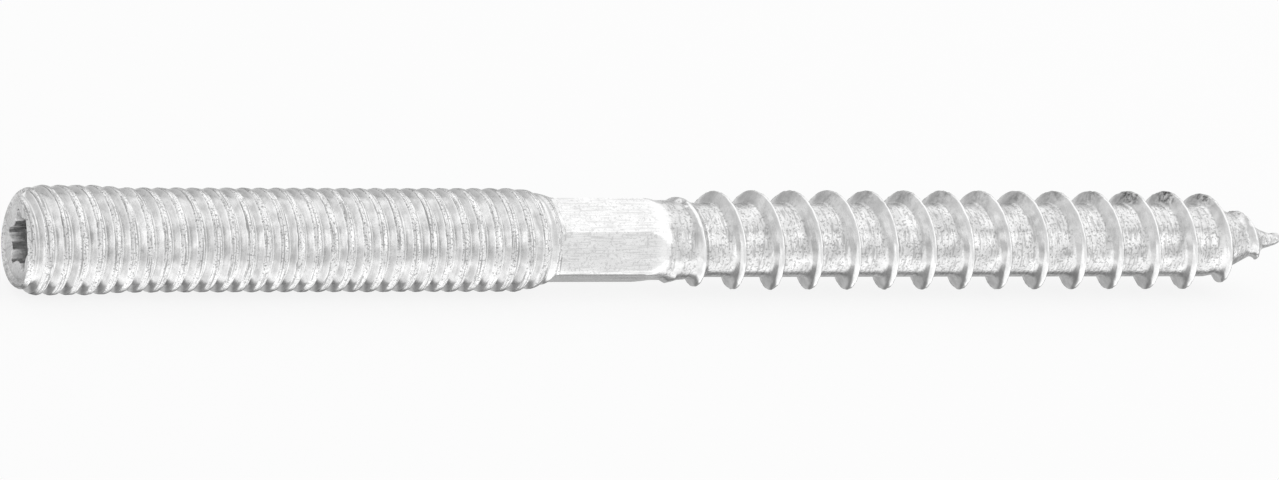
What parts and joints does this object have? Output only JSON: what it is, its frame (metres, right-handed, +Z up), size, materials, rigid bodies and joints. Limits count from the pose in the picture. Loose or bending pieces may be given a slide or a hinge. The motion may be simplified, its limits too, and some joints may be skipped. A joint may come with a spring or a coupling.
{
  "type": "hanger bolt",
  "caption": "Slim plated steel hanger bolt: a metric thread with a six-lobe socket in its end, a short hexagonal shank, and a coarse wood thread with a gimlet point.",
  "frame": {"origin": "middle of the flat drive face, on the bolt's axis at the metric end", "axes": "+X along the axis towards the wood point, +Z up, one flat of the hexagon facing -Y"},
  "size_m": [0.0792, 0.006, 0.006],
  "materials": {
    "zinc_plated_steel": "bright zinc plating over cold-rolled steel"
  },
  "bodies": {
    "root": {"hanger_bolt": "zinc_plated_steel"}
  },
  "joints": []
}
